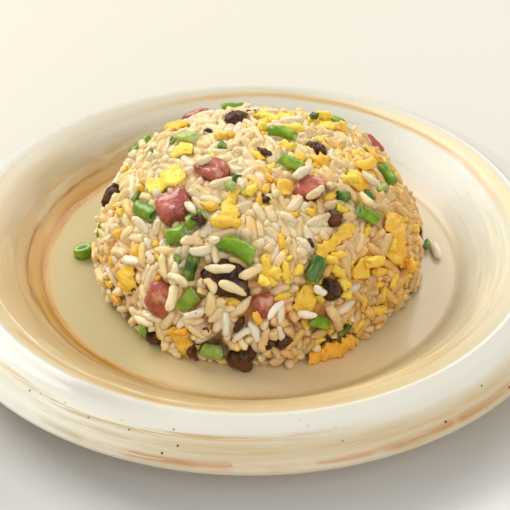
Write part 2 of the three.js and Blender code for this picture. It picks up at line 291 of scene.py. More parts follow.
def plate_points():
    """The profile turned about the axis. The rim sways a little, as thrown clay does, and
    faint throwing ridges run round the wall; the foot stays flat."""
    radius, height = plate_profile().T[:, :, None]
    turn = turns(plate_sides)
    rimward = (radius / plate_radius) ** 4 * np.clip(height / crest_height, 0, 1)
    sway = 0.22 * mm * np.sin(2 * turn + 0.9) + 0.13 * mm * np.sin(3 * turn - 1.1) - 0.2 * mm
    ridges = 0.05 * mm * np.cos(2 * np.pi * radius / (4.3 * mm) + turn)
    height = height + rimward * (sway + ridges)
    around = [radius * np.cos(turn), radius * np.sin(turn), height + 0 * turn]
    return np.stack(around, -1)[None]


def mesh_from(name, points, quads, tris):
    """A smooth-shaded mesh from point, quad and triangle arrays, faces pointing out."""
    corners = points[np.concatenate([tris, quads[:, [0, 1, 2]], quads[:, [0, 2, 3]]])]
    volume = np.einsum("ij,ij", corners[:, 0], np.cross(corners[:, 1], corners[:, 2]))
    if volume < 0:
        quads, tris = quads[:, ::-1], tris[:, ::-1]
    mesh = bpy.data.meshes.new(name)
    mesh.vertices.add(len(points))
    mesh.vertices.foreach_set("co", points.astype(np.float32).ravel())
    loops = np.concatenate([quads.ravel(), tris.ravel()]).astype(np.int32)
    mesh.loops.add(len(loops))
    mesh.loops.foreach_set("vertex_index", loops)
    sizes = np.repeat([4, 3], [len(quads), len(tris)])
    mesh.polygons.add(len(sizes))
    mesh.polygons.foreach_set("loop_start", (np.cumsum(sizes) - sizes).astype(np.int32))
    mesh.polygons.foreach_set("use_smooth", np.ones(len(sizes), bool))
    mesh.update(calc_edges=True)
    return mesh


def skin(name, points, looped=False):
    """A closed mesh for each copy in points[copy, row, side]. A row is a ring of sides, and
    quads join it to the next. The end rows close on a point at their middle or, if looped,
    on each other."""
    copies, rows, sides = points.shape[:3]
    side = np.arange(sides)
    after = np.roll(side, -1)
    row = np.arange(rows if looped else rows - 1)[:, None]
    near, far = row * sides, (row + 1) % rows * sides
    quads = np.stack([near + side, near + after, far + after, far + side], -1)
    last = (rows - 1) * sides
    pole = np.full(sides, rows * sides)
    fans = [np.stack([pole, after, side], 1), np.stack([pole + 1, last + side, last + after], 1)]
    flat = points.reshape(copies, rows * sides, 3)
    tris = np.zeros((0, 3), int) if looped else np.concatenate(fans)
    if not looped:
        flat = np.concatenate([flat, points[:, [0, -1]].mean(2)], 1)
    step = flat.shape[1] * np.arange(copies)[:, None, None]
    quads = (quads.reshape(-1, 4) + step).reshape(-1, 4)
    tris = (tris + step).reshape(-1, 3)
    return mesh_from(name, flat.reshape(-1, 3), quads, tris)


def add_piece(mesh, finish, node):
    """One piece on the plate's body, which stands for a CAD node."""
    piece = bpy.data.objects.new(mesh.name, mesh)
    scene.collection.objects.link(piece)
    mesh.materials.append(finish.material)
    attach(piece, "root")
    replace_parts(piece, node)


glaze = Finish("plate_glaze", (202, 180, 138), Coat_Roughness=0.08, IOR=1.5)
x, y, z = glaze.split()
radius = (x * x + y * y) ** 0.5
east = x / radius
north = y / radius


def toward(bearing, spread):
    """1 on the side of the plate that faces a bearing, fading to 0 this many degrees off."""
    turn = math.radians(bearing)
    edge = math.cos(math.radians(spread))
    full = 0.25 + 0.75 * math.cos(math.radians(0.3 * spread))
    return (east * math.cos(turn) + north * math.sin(turn)).rise(edge, full)


def brushed(rounds, width, detail=3.0):
    """Noise drawn out along the turn of the wheel: this many lumps round, this wide across."""
    sockets = {0: east * rounds, 1: north * rounds, 2: radius / width}
    drawn = glaze.node("ShaderNodeCombineXYZ", {}, sockets)
    return glaze.noise(1.0, detail, where=drawn, roughness=0.6, warp=0.3)


swash = brushed(1.6, 9 * mm)
streak = brushed(2.6, 1.6 * mm, 4.0)
hair = brushed(5.0, 0.7 * mm)
mottle = glaze.noise(26 * mm, 3.0)
reach = radius / mm
ring = reach + (swash - 0.5) * 5


def stroke(place, half, brush, low, high):
    """A line round the plate, this many millimetres out, broken where the brush ran dry."""
    return ring.band(place, half) * brush.rise(low, high)


# The well and the wall, from pale on the right to tan in front and amber on the left.
floor = ring.rise(84, 78)
wall = ring.band(94, 15)
glaze.paint(
    (mottle, 210, 194, 152),
    (floor * toward(-160, 85) * 0.9, 186, 172, 124),
    (floor * toward(-78, 52), 226, 202, 156),
    (floor * toward(0, 60), 202, 184, 146),
    (wall * (0.2 + 0.5 * toward(-110, 110)), 196, 162, 106),
    (wall * toward(140, 55) * 0.85, 178, 158, 116),
    # The right wall is painted paler and cooler: partly its glaze, partly a painted sheen of the window.
    (ring.rise(78, 88) * toward(32, 95), 209, 210, 198),
    (ring.band(98, 8) * toward(112, 44) * 0.8, 212, 208, 194),
    (wall * toward(-36, 60) * streak.rise(0.3, 0.65) * 0.85, 246, 232, 188),
    (wall * swash.rise(0.5, 0.66) * 0.6, 218, 214, 180),
)
scratches = hair.rise(0.56, 0.8) * swash.rise(0.6, 0.4)
glaze.paint((wall * scratches * 0.4, 150, 112, 62))

# The glaze broke amber where it is thin: at the turn of the floor, and in lines higher up.
amber_side = toward(178, 80) + toward(-112, 75) * 0.45 + 0.1
glaze.paint(
    (ring.band(84.5, 8) * amber_side * 0.85, 202, 158, 88),
    (stroke(82.6, 2.8, streak, 0.36, 0.6) * amber_side, 178, 124, 34),
    (stroke(87.6, 1.3, hair, 0.36, 0.6) * amber_side, 164, 120, 58),
    (stroke(91.5, 1.6, streak, 0.45, 0.62) * amber_side * 0.8, 194, 154, 90),
    (ring.band(104, 4.5) * toward(22, 62) * 0.8, 234, 218, 166),
    (ring.rise(99, 104) * toward(120, 70) * 0.9, 204, 198, 176),
)
back_line = (ring - 2.6 * north ** 4).band(100.4, 2.1) * streak.rise(0.1, 0.5)
glaze.paint(
    (back_line * toward(60, 66), 204, 160, 84),
    (stroke(104.8, 1.3, streak, 0.4, 0.6) * toward(-128, 70) * 0.9, 190, 144, 80),
    (stroke(102.6, 1.0, hair, 0.4, 0.6) * toward(-132, 50) * 0.9, 238, 228, 202),
)

# The rim, whiter at its crest, with tan strokes, a line round the lip and specks of iron.
rim = reach.rise(106.5, 108.5)
glaze.paint(
    (rim * (0.85 + 0.2 * mottle), 226, 223, 210),
    (rim * toward(90, 100) * 0.9, 192, 192, 185),
    (rim * reach.rise(115, 110) * toward(-146, 46) * 0.9, 196, 191, 178),
    # The front-left of the rim and lip is painted paler, a painted light where it faces away from the
    # lamps.
    (ring.rise(111, 117) * toward(-142, 50) * 0.9, 238, 237, 220),
    (stroke(117.5, 4.5, swash, 0.46, 0.6) * toward(-135, 60) * 0.4, 216, 206, 160),
)
lip_wash = ring.rise(113.5, 119.0) * (0.45 + 0.5 * swash)
glaze.paint(
    (lip_wash * toward(-68, 60), 200, 176, 126),
    (stroke(116.0, 1.6, hair, 0.38, 0.6) * toward(-114, 46) * 0.9, 196, 162, 104),
    (stroke(119.3, 1.8, hair, 0.42, 0.6) * toward(-80, 62) * 0.7, 202, 172, 122),
)
lip_line = (reach + (streak - 0.5) * 3).band(122.4, 1.7) * hair.rise(0.25, 0.5)
iron_place = glaze.noise(14 * mm, 1.0).rise(0.34, 0.52)
glaze.paint((lip_line * iron_place.rise(-0.6, 0.9) * toward(-80, 54), 190, 142, 84))
iron = glaze.specks(5.5 * mm).rise(0.1, 0.06) * iron_place
near_lip = (reach + (streak - 0.5) * 6).rise(111.0, 119.0)
glaze.paint((iron * (0.15 + 0.85 * near_lip), 84, 52, 30))
clay = z.rise(4.2 * mm, 3.4 * mm) * glaze.noise(3 * mm, 3.0).rise(0.0, 0.4)
glaze.paint((clay, 186, 150, 112))
glaze.feed("Coat Weight", 0.12 + 0.25 * rim)
waves = 0.7 * glaze.noise(30 * mm, 2.0) + 0.3 * swash
glaze.dress(0.3 + 0.12 * streak - 0.14 * rim + 0.4 * clay, waves, 0.25 * mm)

add_piece(skin("glazed_plate", plate_points()), glaze, "plate")

# -------------------- mound's form
# The rice was pressed into a bowl and turned out, so every piece lies on one bowl-shaped
# core: widest a little above the plate, with full shoulders and a flattened top.

mound_centre = np.array([2.3, -2.8, 18.5]) * mm
core_radius = 61 * mm
core_rise = 46.4 * mm
core_drop = 30 * mm
core_squareness = 2.2
rest_gap = 0.3 * mm
bowed_from = 11 * mm


def unit(vectors):
    return vectors / np.linalg.norm(vectors, axis=-1, keepdims=True)


def bearing_of(ways):
    return np.arctan2(ways[..., 1], ways[..., 0])


def dot(ones, others):
    """The dot product of each row and its partner."""
    return np.einsum("ij,ij->i", ones, others)


def core_reach(ways):
    """Distance from the mound's centre to its core in each direction: a ball drawn out to the
    bowl's width and height, with squared shoulders and a slow sway round it."""
    across = np.hypot(ways[..., 0], ways[..., 1])
    depth = np.where(ways[..., 2] >= 0, core_rise, core_drop)
    form = (across / core_radius) ** core_squareness
    form = form + (np.abs(ways[..., 2]) / depth) ** core_squareness
    bearing, climb = bearing_of(ways), np.arctan2(ways[..., 2], across)
    sway = 0.8 * mm * np.sin(3 * bearing + 0.6) + 0.5 * mm * np.sin(5 * bearing + 3 * climb + 2)
    return form ** (-1 / core_squareness) + sway * np.cos(climb)


def core_spot(ways):
    """The points on the core in these directions, and the way its surface faces there."""
    def at(way):
        way = unit(way)
        return mound_centre + way * core_reach(way)[..., None]

    level = unit(np.stack([-ways[..., 1], ways[..., 0] + 1e-9, 0 * ways[..., 0]], -1))
    step = 0.02
    here = at(ways)
    beside = at(ways + step * level) - here
    above = at(ways + step * np.cross(ways, level)) - here
    return here, unit(np.cross(beside, above))


def read_points(mesh, field="co"):
    """Every point of a mesh, or its normal there, as rows of three."""
    values = np.empty(3 * len(mesh.vertices), np.float32)
    mesh.vertices.foreach_get(field, values)
    return values.reshape(-1, 3).astype(float)


class Spot:
    """Where a topping lies. Its CAD node's corners, unrolled from the core, give its middle,
    its long way, its length, width and height, and how far it bows sideways."""

    def __init__(self, node):
        corners = np.unique(read_points(frame["nodes"][node].data), axis=0)
        way = unit(corners.mean(0) - mound_centre)
        self.point, self.normal = core_spot(way)
        self.along = unit(np.array([-way[1], way[0], 0.0]))
        self.over = np.cross(self.normal, self.along)
        flat = self.unroll(corners)[:, :2]
        _, axes = np.linalg.eigh(np.cov(flat.T))
        self.along = unit(axes[0, 1] * self.along + axes[1, 1] * self.over)
        self.over = np.cross(self.normal, self.along)
        x, y, z = self.unroll(corners).T
        self.middle = np.ptp(x) / 2 + x.min()
        self.length = np.ptp(x)
        self.height = z.max()
        bow = np.polyfit(x - self.middle, y, 2)[0]
        self.bow = bow if self.length > bowed_from else 0.0
        straight = y - self.bow * (x - self.middle) ** 2
        self.width = np.ptp(straight)
        self.aside = straight.min() + self.width / 2

    def unroll(self, points):
        """Length, breadth and height of points over the core, seen from this spot."""
        way = unit(points - mound_centre)
        stand = self.point - mound_centre
        flat = way * (stand @ self.normal / (way @ self.normal))[:, None] - stand
        under, normal = core_spot(way)
        height = dot(points - under, normal)
        return np.stack([flat @ self.along, flat @ self.over, height], 1)

    def lay(self, x, y, z):
        """Wraps a shape drawn flat onto the core: x the long way, y across and z outwards.
        Nothing goes below the plate's flat."""
        y = y + self.bow * x ** 2 + self.aside
        x = x + self.middle
        target = self.point - mound_centre
        target = target + x[..., None] * self.along + y[..., None] * self.over
        under, normal = core_spot(unit(target))
        points = under + normal * z[..., None]
        points[..., 2] = np.maximum(points[..., 2], floor_height + rest_gap)
        return points


# -------------------- ham
# Cured ham, diced by hand: blocks with dulled edges, a grain of muscle and lighter seams of
# fat, darker where the wok caught them.


def numbered(kind):
    """The CAD nodes of a kind that have a number, in order."""
    return sorted(node for node in frame["nodes"] if node[:-3] == kind)


def ball_grid(rows, sides):
    """Directions all over a ball, from its lowest row to its highest, and their turns."""
    climb = np.linspace(-np.pi / 2, np.pi / 2, rows + 2)[1:-1, None]
    turn = turns(sides)
    ways = [np.cos(climb) * np.cos(turn), np.cos(climb) * np.sin(turn), np.sin(climb) + 0 * turn]
    return np.stack(ways, -1), turn


def block(ways, squareness):
    """A ball's directions drawn out to a cube with rounded edges."""
    size = (np.abs(ways) ** squareness).sum(-1, keepdims=True)
    return ways * size ** (-1 / squareness)


def ripple(points, size, seed, waves=14):
    """Uneven relief, mostly between -1 and 1: a sum of cosine waves of about this length, each
    of which runs its own way."""
    random = np.random.default_rng(seed)
    ways = random.normal(size=(waves, 3))
    ways /= np.linalg.norm(ways, axis=1, keepdims=True)
    ways *= 2 * np.pi / size * random.uniform(0.7, 1.4, (waves, 1))
    phases = random.uniform(0, 2 * np.pi, waves)
    return np.cos(points @ ways.T + phases).sum(-1) / math.sqrt(waves)


def lump(spot, form, bury, girth=2.0, tilt=0.0):
    """A rounded form drawn out to a topping's length, width and height, tilted a little, and
    sunk this far into the core."""
    rise = (spot.height - bury) / 2
    deep = (spot.height + bury) / 2
    x = form[..., 0] * spot.length / girth
    y = form[..., 1] * spot.width / girth
    z = rise + deep * form[..., 2] + tilt * form[..., 1] * spot.width / 2
    return spot.lay(x, y, z)[None]


ham = Finish(
    "ham", (144, 50, 34), Subsurface_Weight=0.25, Subsurface_Radius=(1.0, 0.35, 0.2),
    Subsurface_Scale=1.2 * mm, Coat_Weight=0.8, Coat_Roughness=0.1,
)
meat = ham.noise(4.2 * mm, 3.0, warp=0.4)
fibre = ham.noise(0.8 * mm, 3.0)
fat = ham.noise(6.5 * mm, 2.0, warp=0.3)
ham.paint(
    (meat.rise(0.3, 0.7), 198, 98, 70),
    (fibre.rise(0.5, 0.8) * 0.45, 228, 142, 104),
    (fat.rise(0.58, 0.7) * 0.7, 238, 180, 140),
    (meat.rise(0.36, 0.2) * 0.6, 112, 34, 22),
)
ham.dress(0.22 + 0.3 * fibre, 0.6 * fibre + 0.4 * meat, 0.5 * mm)

for number, node in enumerate(numbered("ham")):
    ways, _ = ball_grid(18, 32)
    form = block(ways, 5.0)
    relief = 0.32 * ripple(form, 1.1, 10 + number) + 0.12 * ripple(form, 0.4, 30 + number)
    form = form * (1 + 0.13 * relief[..., None])
    points = lump(Spot(node), form, bury=2.2 * mm, girth=2.05, tilt=0.12)
    add_piece(skin(node + "_dice", points), ham, node)

# -------------------- mushroom
# Dark mushroom, soaked and chopped: soft lumps with a few lobes, creased and wet, nearly
# black in the folds and brown where the flesh was cut.

mushroom = Finish(
    "mushroom", (42, 17, 6), Specular_IOR_Level=0.25, Coat_Weight=0.25, Coat_Roughness=0.1,
)
cloud = mushroom.noise(4 * mm, 4.0, warp=0.8)
wrinkle = mushroom.noise(1.3 * mm, 3.0)
mushroom.paint(
    (cloud.rise(0.35, 0.68), 104, 60, 28),
    (wrinkle.rise(0.55, 0.8) * 0.4, 142, 98, 60),
)
mushroom.dress(0.26 + 0.3 * wrinkle, wrinkle, 0.4 * mm)

for number, node in enumerate(numbered("mushroom")):
    ways, turn = ball_grid(20, 36)
    form = block(ways, 2.5)
    lobes = 1 + 0.1 * np.sin(3 * turn + number) + 0.06 * np.sin(5 * turn - 2 * number)
    folds = -0.16 * np.abs(ripple(form, 1.5, 50 + number)) + 0.05 * ripple(form, 0.5, 70 + number)
    form = form * (1.04 + folds[..., None])
    form[..., :2] *= lobes[:, None]
    points = lump(Spot(node), form, bury=2.0 * mm)
    add_piece(skin(node + "_lump", points), mushroom, node)

# -------------------- egg
# Egg fried in a thin sheet and torn: soft waved strips with ragged edges, pitted where it
# bubbled, deep yellow with paler spots of white.

egg = Finish(
    "egg", (255, 226, 84), Subsurface_Weight=0.5, Subsurface_Radius=(1.0, 0.8, 0.3),
    Subsurface_Scale=1.2 * mm, Coat_Weight=0.15, Coat_Roughness=0.25,
)
yolk = egg.noise(5 * mm, 3.0, warp=0.5)
pore = egg.noise(0.9 * mm, 3.0)
egg.paint(
    (egg.attribute("tone"), 250, 182, 50),
    (yolk.rise(0.55, 0.8) * 0.6, 255, 232, 140),
    (yolk.rise(0.45, 0.25) * 0.6, 252, 184, 44),
    (pore.rise(0.45, 0.28) * 0.7, 238, 160, 36),
)
egg.dress(0.36 + 0.25 * pore, 0.6 * pore + 0.4 * egg.noise(2.2 * mm, 3.0), 0.7 * mm)

# How gold the strips of these numbers are, from yellow 0 to 1; the others are 0.55.
egg_gold = {1: 0.0, 2: 0.1, 4: 0.3, 5: 0.3, 7: 0.8, 10: 0.95, 11: 0.6, 12: 0.1, 13: 0.15}


def add_attribute(mesh, name, values):
    """Stores a number for each point, or for each copy in the mesh, spread over its points."""
    spread = np.repeat(values, len(mesh.vertices) // len(values)).astype(np.float32)
    mesh.attributes.new(name, "FLOAT", "POINT").data.foreach_set("value", spread)


for number, node in enumerate(numbered("egg")):
    spot = Spot(node)
    stations = max(16, round(spot.length / (0.5 * mm)))
    turn = turns(22)
    half_round = np.cos(turn)
    along = np.sin(np.linspace(-np.pi / 2, np.pi / 2, stations + 2)[1:-1, None])
    taper = (1 - 0.42 * along ** 4) * (1 + 0.16 * np.sin(3 * along + number))
    taper = taper * np.sqrt(1 - 0.96 * along ** 8)
    lengthways = along * spot.length / 2 + 0 * turn
    zero = 0 * lengthways
    edge = np.stack([lengthways, np.sign(half_round) * 9 * mm + zero, zero], -1)
    torn = 1 + 0.2 * ripple(edge, 5.0 * mm, 90 + number) + 0.14 * ripple(edge, 2.0 * mm, 110 + number)
    full = np.sign(half_round) * np.abs(half_round) ** 0.7
    breadth = full * spot.width / 2 * taper * torn
    sheet_at = np.stack([lengthways, breadth, zero], -1)
    crumple = 0.5 - np.abs(ripple(sheet_at, 5.5 * mm, 130 + number))
    crumple = crumple + 0.5 * ripple(sheet_at, 2.2 * mm, 140 + number)
    curl = math.cos(2.3 * number) * ((breadth / (spot.width / 2)) ** 2 - 0.5)
    lift = spot.height * (0.47 + 0.12 * np.sin(4 * along + number) + 0.2 * crumple + 0.12 * curl)
    thick = 0.26 * spot.height * np.sqrt(1 - 0.9 * along ** 6)
    pits = 0.12 * mm * ripple(sheet_at + [0, 0, 1], 1.0 * mm, 150 + number)
    points = spot.lay(lengthways, breadth, lift + (thick + pits) * np.sin(turn))
    mesh = skin(node + "_strip", points[None])
    add_attribute(mesh, "tone", np.array([egg_gold.get(number + 1, 0.55)]))
    add_piece(mesh, egg, node)

# -------------------- spring onion
# Spring onion cut across into short lengths. A leaf is a hollow tube with a thin wall; a stem
# is sheaths inside one another, pale at the cut and towards the root.

onion = Finish(
    "spring_onion", (28, 66, 12), Subsurface_Weight=0.3, Subsurface_Radius=(0.4, 1.0, 0.2),
    Subsurface_Scale=1.0 * mm, Specular_IOR_Level=0.35, Coat_Weight=0.3, Coat_Roughness=0.08,
)
shade = onion.attribute("shade")
vein = onion.noise(0.6 * mm, 2.0)
blotch = onion.noise(4 * mm, 2.0)
onion.paint(
    (shade.rise(0.0, 0.5), 114, 154, 8),
    (shade.rise(0.5, 1.0), 188, 200, 118),
    (0.45 * blotch.rise(0.45, 0.7), 190, 208, 70),
    (0.5 * blotch.rise(0.42, 0.22), 26, 76, 22),
    (0.25 * vein.rise(0.5, 0.7), 70, 128, 10),
)
inside = onion.blend(shade.rise(0.0, 0.9), linear(120, 172, 70), linear(214, 232, 176))
onion.colour = onion.blend(onion.attribute("depth"), onion.colour, inside)
onion.dress(0.22 + 0.2 * blotch, vein, 0.12 * mm)

# Sheaths by their inner and outer radius as a share of the whole, and the lengths by number:
# which are hollow leaves, and the shade from dark 0 to pale 1 where it isn't 0.45.
leaf_sheaths = [(0.66, 1.0)]
stem_sheaths = [(0.72, 1.0), (0.4, 0.66), (0.04, 0.34)]
ring_sheaths = [(0.56, 1.0)]
hollow_leaves = [2, 4, 10, 12, 16]
onion_shade = {
    1: 0.5, 2: 0.55, 3: 0.42, 4: 0.35, 5: 0.12, 6: 0.62, 7: 0.72, 10: 0.55, 11: 0.3, 12: 0.2,
    14: 0.9,
}


def sheath(inner, outer, size, phase):
    """A tube lying along x, as points[row, side]: rows run along its outer face, round its cut
    end, back along its inner face and round the other end. It is squashed a little, with fine
    ribs, and its cut ends lean."""
    length, width, height = size
    steps, round_steps = 9, 3
    half = (outer - inner) / 2
    run = np.linspace(-1, 1, steps)
    bend = np.linspace(np.pi / 2, -np.pi / 2, round_steps + 2)[1:-1]
    cut = half * np.sin(bend)
    radii = [np.full(steps, outer), inner + half + cut, np.full(steps, inner), inner + half - cut]
    ends = [run, 1 + 0.06 * np.cos(bend), run[::-1], -1 - 0.06 * np.cos(bend)]
    radii, ends = np.concatenate(radii)[:, None], np.concatenate(ends)[:, None]
    turn = turns(30)
    ribs = 1 + 0.012 * np.cos(11 * turn) + 0.05 * np.cos(2 * turn + phase)
    ribs = ribs + 0.03 * np.sin(3 * turn + 2 * ends)
    lean = 0.1 * np.cos(turn + phase) * width
    x = ends * length / 2 * 0.97 + lean * ends
    tube = np.stack([x, np.cos(turn) * width / 2 + 0 * x, np.sin(turn) * height / 2 + 0 * x], -1)
    dents = 0.97 + 0.07 * ripple(tube, 3.4 * mm, 400 + phase)
    ribs = ribs * (dents + 0.035 * ripple(tube, 1.3 * mm, 430 + phase))
    y = radii * ribs * np.cos(turn) * width / 2 + 0.25 * mm * np.sin(1.6 * ends + phase)
    z = radii * ribs * np.sin(turn) * height / 2
    return x, y, z, np.clip((1.0 - radii) * 2.4, 0, 1) + 0 * y


def add_onion(node, place, sheaths, size, phase, shade):
    """One cut length of spring onion, its sheaths joined in one mesh, the inner ones a little
    shorter. place puts flat points where they lie."""
    length, width, height = size
    parts = [
        sheath(inner, outer, (length * (1 - 0.04 * order), width, height), phase)
        for order, (inner, outer) in enumerate(sheaths)
    ]
    points = np.stack([place(x, y, z) for x, y, z, _ in parts])
    mesh = skin(node + "_cut", points, looped=True)
    add_attribute(mesh, "depth", np.stack([part[3] for part in parts]).ravel())
    add_attribute(mesh, "shade", np.array([shade]))
    add_piece(mesh, onion, node)


for number, node in enumerate(numbered("spring_onion")):
    spot = Spot(node)
    sheaths = leaf_sheaths if number + 1 in hollow_leaves else stem_sheaths
    sag = 0.3 * mm + spot.length ** 2 / (8 * core_radius)
    middle = (spot.height + sag) / 2
    place = lambda x, y, z: spot.lay(x, y, z + middle)
    size = (spot.length, spot.width, spot.height - sag)
    add_onion(node, place, sheaths, size, number, onion_shade.get(number + 1, 0.45))

# The ring that fell on the plate stands on its cut end.
ring_low, ring_high = (np.array(corner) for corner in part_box("spring_onion_loose"))
ring_middle = (ring_low + ring_high) / 2
wide, deep, tall = ring_high - ring_low
place = lambda x, y, z: ring_middle + np.stack([z, y, x], -1)
add_onion("spring_onion_loose", place, ring_sheaths, (tall * 0.94, deep, wide), phase=4, shade=0.5)

# -------------------- rice
# Cooked long-grain rice, tossed with oil and egg and pressed into the bowl: some two thousand
# whole grains and crumbs over a packed heart. They lie every way, most of them flat to the
# bowl. They are dropped loosely and then pushed apart until each rests on the next.

grain_flatness = 0.86
shell_depth = 5.8 * mm
outer_height = 2.3 * mm
packing_turns = 90
sinking_turns = 0.85 * packing_turns
pair_reach = 3.8 * mm
pair_turns = 5
crowding = 0.6
plate_gap = 0.2 * mm
push_gain = 1.6
turn_gain = 1.3
bead_share = 0.82
bead_count = 5
bead_places = np.linspace(-1, 1, bead_count)
random = np.random.default_rng(7)


def core_height(points):
    """How far points stand out from the bare core, and the way out from the centre."""
    offset = points - mound_centre
    distance = np.linalg.norm(offset, axis=-1)
    way = offset / distance[..., None]
    return distance - core_reach(way), way


def near_pairs(points, reach):
    """Pairs of points that may lie within reach: points are sorted by the cell they are in,
    and each looks through its own cell and half of the cells round it."""
    cells = np.floor((points - points.min(0)) / reach).astype(np.int64) + 1
    across = cells.max(0) + 2
    keys = (cells[:, 0] * across[1] + cells[:, 1]) * across[2] + cells[:, 2]
    order = np.argsort(keys, kind="stable")
    keys = keys[order]
    place = np.arange(len(keys))
    ones, others = [], []
    shifts = [(i, j, k) for i in (-1, 0, 1) for j in (-1, 0, 1) for k in (-1, 0, 1)]
    for i, j, k in shifts[len(shifts) // 2:]:
        shift = (i * across[1] + j) * across[2] + k
        first = np.searchsorted(keys, keys + shift, "left") if shift else place + 1
        count = np.searchsorted(keys, keys + shift, "right") - first
        for step in range(max(0, count.max())):
            has = np.nonzero(count > step)[0]
            ones.append(has)
            others.append(first[has] + step)
    return order[np.concatenate(ones)], order[np.concatenate(others)]


def topping_beads(spacing):
    """Points just under the skin of the toppings, for the rice to rest against. Egg is so soft
    that grains press into it."""
    found = []
    for piece in scene.objects:
        held = piece.get("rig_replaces", "plate")
        if piece.type == "MESH" and "plate" not in held and "egg" not in held:
            inside = read_points(piece.data) - spacing * read_points(piece.data, "normal")
            found.append(np.unique((inside / spacing).round(), axis=0) * spacing)
    return np.concatenate(found)


def drop_middles(count):
    """Middles spread evenly through the shell of rice over the core, down to the plate."""
    low = mound_centre - [70 * mm, 70 * mm, 7.5 * mm]
    high = mound_centre + [70 * mm, 70 * mm, 55 * mm]
    found = np.zeros((0, 3))
    while len(found) < count:
        points = random.uniform(low, high, (60000, 3))
        height, _ = core_height(points)
        inside = (height < outer_height - 1 * mm) & (height > outer_height - shell_depth + 0.5 * mm)
        found = np.concatenate([found, points[inside]])
    return found[:count]


class Grains:
    """Rigid grains, each a row of five round beads. Their arrays have one row for each."""

    def __init__(self, middles, ways, lengths, widths, limits, kinds, shades):
        self.middles, self.ways, self.lengths, self.widths = middles, ways, lengths, widths
        self.limits, self.kinds, self.shades = limits, kinds, shades
        self.spans = np.maximum(lengths - widths, 0.2 * mm) / 2
        self.sizes = widths / 2 * bead_share

    def rows(self):
        return [self.middles, self.ways, self.lengths, self.widths, self.limits, self.kinds, self.shades]

    def pick(self, chosen):
        return Grains(*(row[chosen] for row in self.rows()))

    def join(self, other):
        pairs = zip(self.rows(), other.rows())
        return Grains(*(np.concatenate(pair) for pair in pairs))

    def beads(self):
        out = self.ways[:, None] * (bead_places[:, None] * self.spans[:, None, None])
        return self.middles[:, None] + out

    def move(self, pushes):
        """Moves and turns each grain as its beads are pushed."""
        self.middles = self.middles + push_gain * pushes.mean(1)
        lever = (bead_places[:, None] * pushes).sum(1) / (bead_places ** 2).sum()
        self.ways = unit(self.ways + turn_gain * lever / np.maximum(self.spans, 1 * mm)[:, None])


def settle(grains, fixed, fixed_sizes, sink, held=False):
    """Pushes grains out of each other and of what is fixed, in under the bowl's surface, and
    off the core and the plate, while they sink a little every turn. Held grains only rise and
    sink, and pass through each other. Returns how deep each still presses into another."""
    count = len(grains.middles)
    moving = count * bead_count
    size = np.concatenate([np.repeat(grains.sizes, bead_count), fixed_sizes])
    owner = np.repeat(np.arange(count), bead_count)
    owner = np.concatenate([owner, np.full(len(fixed), -1)])
    limits = np.repeat(grains.limits, bead_count)
    for turn in range(packing_turns):
        beads = grains.beads().reshape(-1, 3)
        both = np.concatenate([beads, fixed])
        if turn % pair_turns == 0:
            one, other = near_pairs(both, pair_reach)
            meet = owner[one] != owner[other]
            if held:
                meet &= np.minimum(owner[one], owner[other]) < 0
            one, other = one[meet], other[meet]
        gap = both[one] - both[other]
        apart = np.sqrt(dot(gap, gap)) + 1e-9
        need = size[one] + size[other] - apart
        hit = need > 0
        near, far = one[hit], other[hit]
        share = np.where((near < moving) & (far < moving), 0.5, 1.0)
        push = gap[hit] * (share * need[hit] / apart[hit])[:, None]
        total = [
            np.bincount(near, along, len(both)) - np.bincount(far, along, len(both))
            for along in push.T
        ]
        meets = np.bincount(near, minlength=len(both)) + np.bincount(far, minlength=len(both))
        pushes = np.stack(total, 1)[:moving] / np.maximum(1, meets[:moving] ** crowding)[:, None]
        height, way = core_height(beads)
        over = height + size[:moving] - limits
        under = outer_height - shell_depth - (height - size[:moving])
        fall = sink * (turn < sinking_turns)
        pushes -= way * (np.maximum(over, 0) - np.maximum(under, 0) + fall)[:, None]
        low = floor_height + plate_gap - (beads[:, 2] - size[:moving])
        pushes[:, 2] += np.maximum(low, 0)
        if held:
            pushes = way * dot(pushes, way)[:, None]
        grains.move(pushes.reshape(count, bead_count, 3))
    worst = np.zeros(len(both))
    np.maximum.at(worst, one, need)
    np.maximum.at(worst, other, need)
    return worst[:moving].reshape(count, bead_count).max(1)


def grain_points(grains, rows, sides, ragged):
    """Every grain as points[grain, row, side]: an oval bar with blunt tips, one end slimmer
    than the other, with a slight bend, made ragged by waves through it."""
    count = len(grains.middles)
    draw = lambda low, high: random.uniform(low, high, (count, 1, 1))
    along = np.sin(np.linspace(-1, 1, rows) * math.radians(78))[:, None]
    along = along / np.abs(along).max() * 0.975
    waist = 1 + draw(-0.2, 0.2) * along + 0.09 * np.sin(draw(3, 7) * along + draw(0, 6))
    full = (1 - np.abs(along) ** draw(2.2, 4.8)) ** 0.5 * waist
    turn = turns(sides) + draw(0, 6)
    side = full * (1 + 0.08 * np.cos(2 * turn + draw(0, 6)) + 0.07 * np.cos(3 * turn + draw(0, 6)))
    _, out = core_height(grains.middles)
    level = unit(np.cross(out + random.normal(0, 0.4, (count, 3)), grains.ways))
    rise = np.cross(grains.ways, level)
    widths, lengths = grains.widths[:, None, None], grains.lengths[:, None, None]
    bow = along ** 2 - 0.3
    sideways = side * np.cos(turn) * widths / 2 + draw(-1, 1) * 0.95 * mm * bow
    upwards = grain_flatness * side * np.sin(turn) * widths / 2 + draw(-1, 1) * 0.4 * mm * bow
    lengthways = along * lengths / 2 + 0 * turn
    parts = [(lengthways, grains.ways), (sideways, level), (upwards, rise)]
    out = sum(size[..., None] * way[:, None, None] for size, way in parts)
    middles = grains.middles[:, None, None]
    torn = 1 + ragged * ripple(out + middles, 2.4 * mm, 201, 24)
    torn = torn + 0.5 * ragged * ripple(out + middles, 1.1 * mm, 202, 24)
    return middles + out * torn[..., None]


